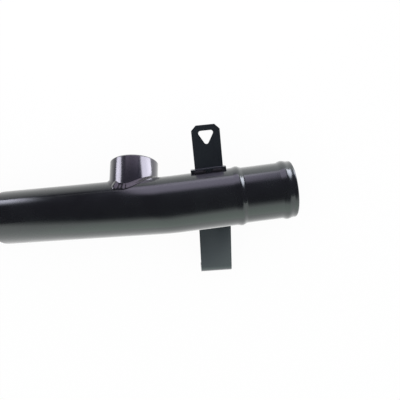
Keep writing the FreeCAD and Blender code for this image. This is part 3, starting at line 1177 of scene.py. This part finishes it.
@dataclass(frozen=True)
class WeldLobe:
    """Short bead that joins sheet to tube and thins out towards its ends.

    The ripple is a share of the radius, about the level where ripple_level puts its middle.
    """

    radius: float
    ripple_pitch: float = 1.9
    ripple: float = 0.05
    ripple_level: float = 0.6
    fullness: float = 2.6
    facets: int = 28
    steps: int = 40

    def build(
        self, name: str, length: float, tube: float, angle: float, along: float, place: Matrix
    ) -> bpy.types.Object:
        """Lay one bead along the tube.

        Args:
            name: Name of the new piece.
            length: Length of the bead over its ends.
            tube: Outside diameter of the tube.
            angle: How far the bead lies back from outwards, in degrees.
            along: Where its middle is along the tube.
            place: Frame of the sheet that it joins.

        Returns:
            The bead in its place.
        """
        profile: list[Point] = []
        for step in range(self.steps + 1):
            share = -math.cos(math.pi * step / self.steps)
            x = share * length / 2
            plain = self.radius * math.sqrt(max(0.0, 1 - abs(share) ** self.fullness))
            wave = abs(math.sin(math.pi * (x + along) / self.ripple_pitch)) - self.ripple_level
            profile.append((x, plain * (1 + self.ripple * wave)))
        points = [at(x, 0, r) for x, r in profile]
        bead = Workshop.turn(name, points, Vector((1, 0, 0)), self.facets, closed=False)
        back = math.radians(angle)
        middle = at(along, tube / 2 * math.sin(back), tube / 2 * math.cos(back))
        Workshop.smooth(bead, Workshop.WELD_CREASE)
        Workshop.stand(bead, place @ Matrix.Translation(middle))
        return bead


@dataclass(frozen=True)
class CableTab:
    """Sheet tab with a tie hole, on a foot that hugs the tube and is tacked down by four beads."""

    station: float = 19.1
    tube: float = 33.0
    width: float = 16.0
    sheet: float = 2.0
    top: float = 42.5
    skew: float = 1.5
    corner: float = 2.8
    corner_round: float = 0.6
    hole_width: float = 10.2
    hole_height: float = 8.8
    hole_round: float = 1.3
    hole_edge: float = 3.2
    foot_width: float = 20.0
    foot_front: float = 9.0
    foot_wrap: float = 46.0
    foot_steps: int = 16
    lobe_length: float = 7.6
    lobe_spacing: float = 10.2
    lobe_radius: float = 1.6
    edge_round: float = 0.6

    def build_tab(self, layout: Layout) -> bpy.types.Object:
        """Press the tab and its foot.

        Args:
            layout: Frames of the pieces.

        Returns:
            The tab in its place.
        """
        half, base = self.width / 2, self.tube / 2 + self.sheet / 2
        outline = rounded(
            [
                Corner(-half, base),
                Corner(half, base),
                Corner(half, self.top - self.corner, self.corner_round),
                Corner(half - self.corner, self.top, self.corner_round),
                Corner(-half + self.corner, self.top, self.corner_round),
                Corner(-half, self.top - self.corner, self.corner_round),
            ]
        )
        face = [at(x, -self.sheet / 2, z) for x, z in outline]
        tab = Workshop.plate("cable_tab_sheet", face, at(0, self.sheet, 0))
        high = self.top - self.hole_edge
        triangle = rounded(
            [
                Corner(-self.hole_width / 2, high, self.hole_round),
                Corner(0, high - self.hole_height, self.hole_round),
                Corner(self.hole_width / 2, high, self.hole_round),
            ]
        )
        face = [at(x, -self.sheet, z) for x, z in triangle]
        punch = Workshop.plate("tie_hole_punch", face, at(0, 2 * self.sheet, 0))
        Workshop.combine(tab, punch, "DIFFERENCE")
        Workshop.stand(tab, Matrix.Rotation(math.radians(self.skew), 4, "Y"))
        Workshop.combine(tab, self.build_foot(), "UNION")
        Workshop.round_edges(tab, self.edge_round)
        Workshop.stand(tab, layout.tab)
        return tab

    def build_foot(self) -> bpy.types.Object:
        """Roll the foot's strip round the tube.

        Returns:
            The foot, in the tab's frame.
        """
        inner, outer = self.tube / 2, self.tube / 2 + self.sheet
        half = self.foot_width / 2
        section = [at(-half, 0, inner), at(half, 0, inner), at(half, 0, outer), at(-half, 0, outer)]
        foot = Workshop.hoop("cable_tab_foot", section, self.foot_steps, self.foot_wrap)
        Workshop.stand(foot, Matrix.Rotation(math.radians(self.foot_front), 4, "X"))
        return foot

    def build_welds(self, layout: Layout) -> bpy.types.Object:
        """Tack the foot down with a pair of beads in front and a pair behind.

        Args:
            layout: Frames of the pieces.

        Returns:
            The four beads in their places, as one piece.
        """
        lobe = WeldLobe(radius=self.lobe_radius)
        beads = []
        for angle in (-self.foot_front, self.foot_wrap - self.foot_front):
            for side in (-0.5, 0.5):
                along = side * self.lobe_spacing
                bead = lobe.build("cable_tab_weld", self.lobe_length, self.tube, angle, along, layout.tab)
                beads.append(bead)
        return Workshop.join(*beads)

    def assemble(self, layout: Layout, finishes: Finishes) -> Pieces:
        """Build the tab and its beads and dress them.

        Args:
            layout: Frames of the pieces.
            finishes: The enamel for each kind of surface.

        Returns:
            The pieces by the names of the solids that they stand for.
        """
        return {
            "cable_tab": fit(self.build_tab(layout), "cable_tab", finishes[Coat.PRESSED_SHEET]),
            "tab_weld": fit(self.build_welds(layout), "tab_weld", finishes[Coat.TACK_WELD]),
        }


@dataclass(frozen=True)
class FixingBracket:
    """Folded strip with a saddle round the tube, a leg that leans back and a drilled sole.

    root is how deep the leg's top reaches into the saddle.
    """

    station: float = 20.1
    tube: float = 33.0
    width: float = 18.4
    sheet: float = 2.5
    drop: float = 46.4
    skew: float = 3.9
    lean: float = 12.0
    fold_round: float = 2.5
    fold_steps: int = 12
    sole_depth: float = 22.0
    sole_round: float = 4.0
    sole_steps: int = 8
    bolt_hole: float = 6.6
    saddle_start: float = 4.0
    saddle_wrap: float = 48.0
    saddle_steps: int = 20
    weld_round: float = 1.8
    edge_round: float = 0.35
    root: float = 0.8

    def fold_centre(self) -> Point:
        """Find the fold's centre.

        Returns:
            How far it is back from the front face, and out from the tube's axis.
        """
        lean = math.radians(self.lean)
        fold = self.fold_round + self.sheet
        out = self.drop - fold
        back = fold * math.cos(lean) + (out + fold * math.sin(lean) - self.tube / 2) * math.tan(lean)
        return back, out

    def side_profile(self) -> list[Point]:
        """Draw the leg, the fold and the sole from the side.

        Returns:
            Places back from the front face, each with its distance from the tube's axis.
        """
        lean = math.radians(self.lean)
        back, out = self.fold_centre()
        top = self.tube / 2 - self.root
        front = -self.root * math.tan(lean)
        start, finish = math.pi - lean, math.pi / 2
        turns = range(self.fold_steps + 1)
        angles = [start + (finish - start) * step / self.fold_steps for step in turns]
        bends: list[list[Point]] = []
        for radius in (self.fold_round + self.sheet, self.fold_round):
            bends.append([(back + radius * math.cos(a), out + radius * math.sin(a)) for a in angles])
        outer, inner = bends
        toe = [(self.sole_depth, self.drop), (self.sole_depth, self.drop - self.sheet)]
        return [(front, top), *outer, *toe, *reversed(inner), (front + self.sheet / math.cos(lean), top)]

    def build_bracket(self, layout: Layout) -> bpy.types.Object:
        """Fold the strip.

        Args:
            layout: Frames of the pieces.

        Returns:
            The bracket in its place.
        """
        half = self.width / 2
        face = [at(-half, y, z) for y, z in self.side_profile()]
        bracket = Workshop.plate("fixing_bracket_strip", face, at(self.width, 0, 0))
        Workshop.take(bracket)
        Workshop.edit()
        Workshop.pick(bracket, lambda point: point.y > mm(self.sole_depth - Workshop.TOUCH))
        self.keep_upright_edges(bracket)
        bpy.ops.mesh.bevel(
            offset=mm(self.sole_round), segments=self.sole_steps, affect="EDGES", clamp_overlap=True
        )
        Workshop.clean()
        Workshop.leave()
        hole = Matrix.Translation(at(0, (self.sole_depth + self.fold_centre()[0]) / 2, self.drop))
        Workshop.drill(bracket, mm(self.bolt_hole / 2), mm(4 * self.sheet), hole)
        Workshop.stand(bracket, Matrix.Rotation(math.radians(self.skew), 4, "Y"))
        Workshop.combine(bracket, self.build_saddle(), "UNION")
        Workshop.round_edges(bracket, self.edge_round)
        Workshop.stand(bracket, layout.bracket)
        return bracket

    @staticmethod
    def keep_upright_edges(bracket: bpy.types.Object) -> None:
        """Leave only the edges through the sheet selected on the piece in edit mode.

        Args:
            bracket: The bracket, with the end of its sole selected.
        """
        nearly_upright = 0.99
        bpy.ops.mesh.select_mode(type="EDGE")
        mesh = bmesh.from_edit_mesh(bracket.data)
        for edge in mesh.edges:
            way = edge.verts[0].co - edge.verts[1].co
            edge.select_set(edge.select and abs(way.normalized().z) > nearly_upright)
        bmesh.update_edit_mesh(bracket.data)

    def build_saddle(self) -> bpy.types.Object:
        """Roll the end of the strip round the tube, in line with the top of the skewed leg.

        Returns:
            The saddle, in the bracket's frame.
        """
        inner, outer = self.tube / 2, self.tube / 2 + self.sheet
        shift = inner * math.tan(math.radians(self.skew))
        left, right = shift - self.width / 2, shift + self.width / 2
        section = [at(left, 0, inner), at(right, 0, inner), at(right, 0, outer), at(left, 0, outer)]
        saddle = Workshop.hoop("fixing_bracket_saddle", section, self.saddle_steps, self.saddle_wrap)
        Workshop.stand(saddle, Matrix.Rotation(-math.radians(self.saddle_start), 4, "X"))
        return saddle

    def build_weld(self, layout: Layout) -> bpy.types.Object:
        """Lay the bead along the end of the saddle.

        Args:
            layout: Frames of the pieces.

        Returns:
            The bead in its place.
        """
        length = self.width - self.weld_round
        end = self.saddle_start + self.saddle_wrap
        lobe = WeldLobe(radius=self.weld_round)
        return lobe.build("fixing_bracket_weld", length, self.tube, end, 0.0, layout.bracket)

    def assemble(self, layout: Layout, finishes: Finishes) -> Pieces:
        """Build the bracket and its bead and dress them.

        Args:
            layout: Frames of the pieces.
            finishes: The enamel for each kind of surface.

        Returns:
            The pieces by the names of the solids that they stand for.
        """
        bracket = fit(self.build_bracket(layout), "fixing_bracket", finishes[Coat.PRESSED_SHEET])
        weld = fit(self.build_weld(layout), "bracket_weld", finishes[Coat.WELD_METAL])
        return {"fixing_bracket": bracket, "bracket_weld": weld}


# The studio


@dataclass(frozen=True)
class SoftBox:
    """Lamp behind a diffuser, aimed at the pipe, that fades towards its edges.

    Lengths are in metres. fade has the share of its width or height over which it fades at its
    left, right, lower and upper edge, as seen from the pipe; only has the pieces that it lights,
    where a grid keeps its light off the others.
    """

    name: str
    place: Place
    width: float
    height: float
    radiance: float
    colour: str
    fade: tuple[float, float, float, float]
    aim: Place = (0.02, 0.0, 0.025)
    only: tuple[bpy.types.Object, ...] = ()

    def light(self) -> None:
        """Set the lamp up."""
        lamp = bpy.data.lights.new(self.name, "AREA")
        lamp.shape = "RECTANGLE"
        lamp.size = self.width
        lamp.size_y = self.height
        lamp.energy = self.radiance * math.pi * self.width * self.height
        lamp.color = linear(self.colour)[:3]
        self.soften(lamp)
        stand = bpy.data.objects.new(self.name, lamp)
        bpy.context.scene.collection.objects.link(stand)
        stand.location = self.place
        way = Vector(self.aim) - Vector(self.place)
        stand.rotation_euler = way.to_track_quat("-Z", "Y").to_euler()
        stand.visible_camera = False
        if self.only:
            lit = bpy.data.collections.new(f"{self.name}_lights_only")
            for piece in self.only:
                lit.objects.link(piece)
            stand.light_linking.receiver_collection = lit
            stand.light_linking.blocker_collection = lit

    def soften(self, lamp: bpy.types.Light) -> None:
        """Let the diffuser fade towards its edges.

        Args:
            lamp: The lamp behind it.
        """
        lamp.use_nodes = True
        tree = lamp.node_tree
        tree.nodes.clear()
        spot = add_node(tree, "ShaderNodeNewGeometry", {}).outputs["Parametric"]
        shares = add_node(tree, "ShaderNodeSeparateXYZ", {"Vector": spot})
        left, right, low, high = self.fade
        # The lamp's own X runs from right to left as seen from the pipe
        edges = (("X", 1, 1 - left), ("X", 0, right), ("Y", 0, low), ("Y", 1, 1 - high))
        level = None
        for axis, edge, inside in edges:
            ramp = add_node(
                tree,
                "ShaderNodeMapRange",
                {"Value": shares.outputs[axis], "From Min": edge, "From Max": inside},
                interpolation_type="SMOOTHSTEP",
            ).outputs["Result"]
            if level is not None:
                both = add_node(tree, "ShaderNodeMath", {0: level, 1: ramp}, operation="MULTIPLY")
                ramp = both.outputs["Value"]
            level = ramp
        glow = add_node(tree, "ShaderNodeEmission", {"Strength": level})
        add_node(tree, "ShaderNodeOutputLight", {"Surface": glow.outputs["Emission"]})


@dataclass(frozen=True)
class PhotoCamera:
    """The photograph's camera, in the hose end's frame.

    eye and target are in millimetres, roll is in degrees, and the lens and its sensor are in
    millimetres too; clip_start is in metres.
    """

    eye: Place = (7.673, -253.338, 49.392)
    target: Place = (12.285, 0.0, 0.501)
    roll: float = 7.271
    lens: float = 40.5
    sensor: float = 36.0
    clip_start: float = 0.01

    def place(self, layout: Layout) -> None:
        """Stand the camera up and look through it.

        Args:
            layout: Frames of the pieces.
        """
        forward = (Vector(self.target) - Vector(self.eye)).normalized()
        level = forward.cross(Vector((0, 0, 1))).normalized()
        upward = level.cross(forward)
        roll = math.radians(self.roll)
        right = level * math.cos(roll) - upward * math.sin(roll)
        up = upward * math.cos(roll) + level * math.sin(roll)
        turn = Matrix((right, up, -forward)).transposed().to_4x4()
        data = bpy.data.cameras.new("photo_camera")
        data.lens = self.lens
        data.sensor_width = self.sensor
        data.clip_start = self.clip_start
        camera = bpy.data.objects.new("photo_camera", data)
        bpy.context.scene.collection.objects.link(camera)
        camera.matrix_world = layout.hose @ Matrix.Translation(at(*self.eye)) @ turn
        bpy.context.scene.camera = camera


@dataclass(frozen=True)
class Studio:
    """White table, white surroundings, soft boxes, and black flags that keep the enamel dark.

    Lengths are in metres, apart from table_drop, which is in millimetres and keeps the paper clear
    of the pipe. A flag's feather says how far from its middle it starts to thin out, and where it
    ends. The wall goes round the back from wall_from to wall_to, in degrees from straight back.
    """

    paper: str = "f4f4f4"
    paper_glow: float = 0.95
    flag: str = "060608"
    flag_facets: int = 96
    table_size: float = 8.0
    table_drop: float = 0.05
    overhead_place: Place = (-0.08, 0.6, 0.9)
    overhead_feather: Point = (1.13, 1.62)
    table_flag_place: Place = (-0.3, 0.42, 0.0005)
    table_flag_feather: Point = (0.3, 0.52)
    wall_radius: float = 1.6
    wall_height: float = 1.9
    wall_from: float = -105.0
    wall_to: float = 110.0
    wall_steps: int = 48

    def build(self, pieces: Pieces) -> None:
        """Set up the table, the flags, the room and the lamps.

        Args:
            pieces: The finished pieces by the names of the solids that they stand for.
        """
        # The tube's lower edge mirrors the paper all along, and not the leg beside it
        pieces["fixing_bracket"].visible_glossy = False
        self.build_table()
        self.build_flags()
        self.light_room()
        for lamp in self.lamps(pieces):
            lamp.light()

    def lamps(self, pieces: Pieces) -> list[SoftBox]:
        """List the soft boxes: one behind, one in front, and those for single pieces.

        Args:
            pieces: The finished pieces by the names of the solids that they stand for.

        Returns:
            The soft boxes, which aren't set up yet.
        """
        tube = (pieces["pipe"],)
        boss = (pieces["sensor_boss"],)
        boss_and_weld = (pieces["sensor_boss"], pieces["boss_weld"])
        leg = (pieces["fixing_bracket"],)
        return [
            SoftBox(
                name="back_soft_box",
                place=(0.04, 0.165, 0.08),
                width=0.21,
                height=0.16,
                radiance=1.7,
                colour="f0e0ff",
                fade=(0.09, 0.2, 0.05, 0.47),
                aim=(0.04, 0.0, 0.08),
            ),
            SoftBox(
                name="front_soft_box",
                place=(0.0, -1.2, 0.6),
                width=2.6,
                height=1.2,
                radiance=0.2,
                colour="c0ffd0",
                fade=(0.2, 0.2, 0.05, 0.5),
            ),
            SoftBox(
                name="left_boss_box",
                place=(-1.1, 0.806, 0.34),
                width=0.53,
                height=0.72,
                radiance=8.4,
                colour="f0edff",
                fade=(0.18, 0.12, 0.15, 0.12),
                only=boss_and_weld,
            ),
            SoftBox(
                name="right_boss_box",
                place=(0.0415, 0.04, 0.0265),
                width=0.037,
                height=0.027,
                radiance=8.4,
                colour="f0edff",
                fade=(0.1, 0.1, 0.05, 0.15),
                aim=(0.019, 0.04, 0.0265),
                only=boss,
            ),
            SoftBox(
                name="left_tube_box",
                place=(-0.184, 0.158, 0.04),
                width=0.067,
                height=0.08,
                radiance=4.4,
                colour="eeeaff",
                fade=(0.2, 0.55, 0.05, 0.8),
                aim=(-0.061, 0.026, 0.04),
                only=tube,
            ),
            SoftBox(
                name="bead_box",
                place=(0.159, 0.084, 0.03),
                width=0.066,
                height=0.066,
                radiance=6.6,
                colour="f0edff",
                fade=(0.1, 0.1, 0.05, 0.45),
                aim=(0.09, 0.01, 0.03),
                only=tube,
            ),
            SoftBox(
                name="leg_box",
                place=(0.02, -0.4, 0.85),
                width=0.7,
                height=0.6,
                radiance=0.33,
                colour="ffffff",
                fade=(0.3, 0.3, 0.3, 0.3),
                only=leg,
            ),
        ]

    @staticmethod
    def seen_directly(tree: bpy.types.NodeTree) -> bpy.types.NodeSocket:
        """A switch that is 1 for rays from the camera, a mirror or glass.

        Args:
            tree: Node tree of the table's paper.

        Returns:
            The switch's socket.
        """
        rays = add_node(tree, "ShaderNodeLightPath", {})
        seen = rays.outputs["Is Camera Ray"]
        for other in ("Is Glossy Ray", "Is Transmission Ray"):
            both = add_node(tree, "ShaderNodeMath", {0: seen, 1: rays.outputs[other]}, operation="MAXIMUM")
            seen = both.outputs["Value"]
        return seen

    def build_table(self) -> None:
        """Lay white paper on the table: it glows to the eye and still takes the pipe's shadow."""
        Workshop.take()
        bpy.ops.mesh.primitive_plane_add(size=self.table_size, location=(0, 0, -mm(self.table_drop)))
        table = bpy.context.object
        table.name = "table"
        bpy.ops.object.transform_apply(location=True, rotation=True, scale=True)
        paper = bpy.data.materials.new("white_studio_paper")
        paper.use_nodes = True
        tree = paper.node_tree
        tree.nodes.clear()
        share = add_node(
            tree, "ShaderNodeMath", {0: self.seen_directly(tree), 1: self.paper_glow}, operation="MULTIPLY"
        )
        sheet = add_node(tree, "ShaderNodeBsdfDiffuse", {"Color": linear(self.paper)})
        glow = add_node(tree, "ShaderNodeEmission", {"Color": (1, 1, 1, 1), "Strength": 1.0})
        both = add_node(
            tree,
            "ShaderNodeMixShader",
            {0: share.outputs["Value"], 1: sheet.outputs["BSDF"], 2: glow.outputs["Emission"]},
        )
        add_node(tree, "ShaderNodeOutputMaterial", {"Surface": both.outputs["Shader"]})
        table.data.materials.append(paper)

    def cloth(self, name: str, centre: Place, feather: Point) -> bpy.types.Material:
        """Weave black cloth that thins out to nothing away from its middle.

        Args:
            name: Name of the cloth.
            centre: Its middle in metres.
            feather: How far from the middle it starts to thin out, and where it ends.

        Returns:
            The material.
        """
        material = bpy.data.materials.new(name)
        material.use_nodes = True
        tree = material.node_tree
        tree.nodes.clear()
        place = add_node(tree, "ShaderNodeTexCoord", {}).outputs["Object"]
        away = add_node(tree, "ShaderNodeVectorMath", {0: place, 1: centre}, operation="DISTANCE")
        thin = add_node(
            tree,
            "ShaderNodeMapRange",
            {"Value": away.outputs["Value"], "From Min": feather[0], "From Max": feather[1]},
        )
        black = add_node(tree, "ShaderNodeBsdfDiffuse", {"Color": linear(self.flag)})
        gap = add_node(tree, "ShaderNodeBsdfTransparent", {})
        both = add_node(
            tree,
            "ShaderNodeMixShader",
            {0: thin.outputs["Result"], 1: black.outputs["BSDF"], 2: gap.outputs["BSDF"]},
        )
        add_node(tree, "ShaderNodeOutputMaterial", {"Surface": both.outputs["Shader"]})
        return material

    def build_flags(self) -> None:
        """Hang black flags that only show in the enamel: overhead, on the table and behind."""
        hangings = [
            ("overhead_flag", self.overhead_place, self.overhead_feather),
            ("table_flag", self.table_flag_place, self.table_flag_feather),
        ]
        flags = []
        for name, place, feather in hangings:
            Workshop.take()
            bpy.ops.mesh.primitive_circle_add(
                vertices=self.flag_facets, radius=feather[1], fill_type="NGON", location=place
            )
            flag = bpy.context.object
            flag.name = name
            Workshop.stand(flag, flag.matrix_world.copy())
            flag.data.materials.append(self.cloth(f"{name}_cloth", place, feather))
            flags.append(flag)
        wall = self.build_wall()
        far = 2 * (self.wall_radius + self.wall_height)
        wall.data.materials.append(self.cloth("back_flag_cloth", (0, 0, 0), (far, 2 * far)))
        for flag in (*flags, wall):
            flag.visible_camera = False
            flag.visible_diffuse = False
            flag.visible_shadow = False
            flag.visible_transmission = False

    def build_wall(self) -> bpy.types.Object:
        """Bend a black wall round the back half of the table.

        Returns:
            The wall.
        """
        left, right = self.wall_from, self.wall_to
        foot = Matrix.Rotation(-math.radians(left), 3, "Z") @ Vector((0, self.wall_radius, 0))
        wall = Workshop.trace("back_flag", [foot, foot + Vector((0, 0, self.wall_height))])
        Workshop.sweep(self.wall_steps, left - right, Vector(), Vector((0, 0, 1)))
        Workshop.clean()
        Workshop.leave()
        return wall

    @staticmethod
    def light_room() -> None:
        """Make the room white, which also lights the pipe from all around."""
        room = bpy.data.worlds.new("white_room")
        bpy.context.scene.world = room
        room.use_nodes = True
        tree = room.node_tree
        tree.nodes.clear()
        white = add_node(tree, "ShaderNodeBackground", {"Color": (1, 1, 1, 1), "Strength": 1.0})
        add_node(tree, "ShaderNodeOutputWorld", {"Surface": white.outputs["Background"]})


# The whole picture


def main() -> None:
    """Build every piece, the studio and the camera."""
    logging.basicConfig(level=logging.INFO, format="%(name)s: %(message)s")
    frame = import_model()
    tube, boss, tab, bracket = FormedTube(), SensorBoss(), CableTab(), FixingBracket()
    layout = Layout.from_record(frame["record"], tube, boss, tab, bracket)
    finishes = mix_enamels()
    pieces: Pieces = {}
    for assembly in (tube, boss, tab, bracket):
        pieces |= assembly.assemble(layout, finishes)
    Studio().build(pieces)
    PhotoCamera().place(layout)
    bpy.context.scene.view_settings.view_transform = "Standard"


if __name__ == "__main__":
    main()
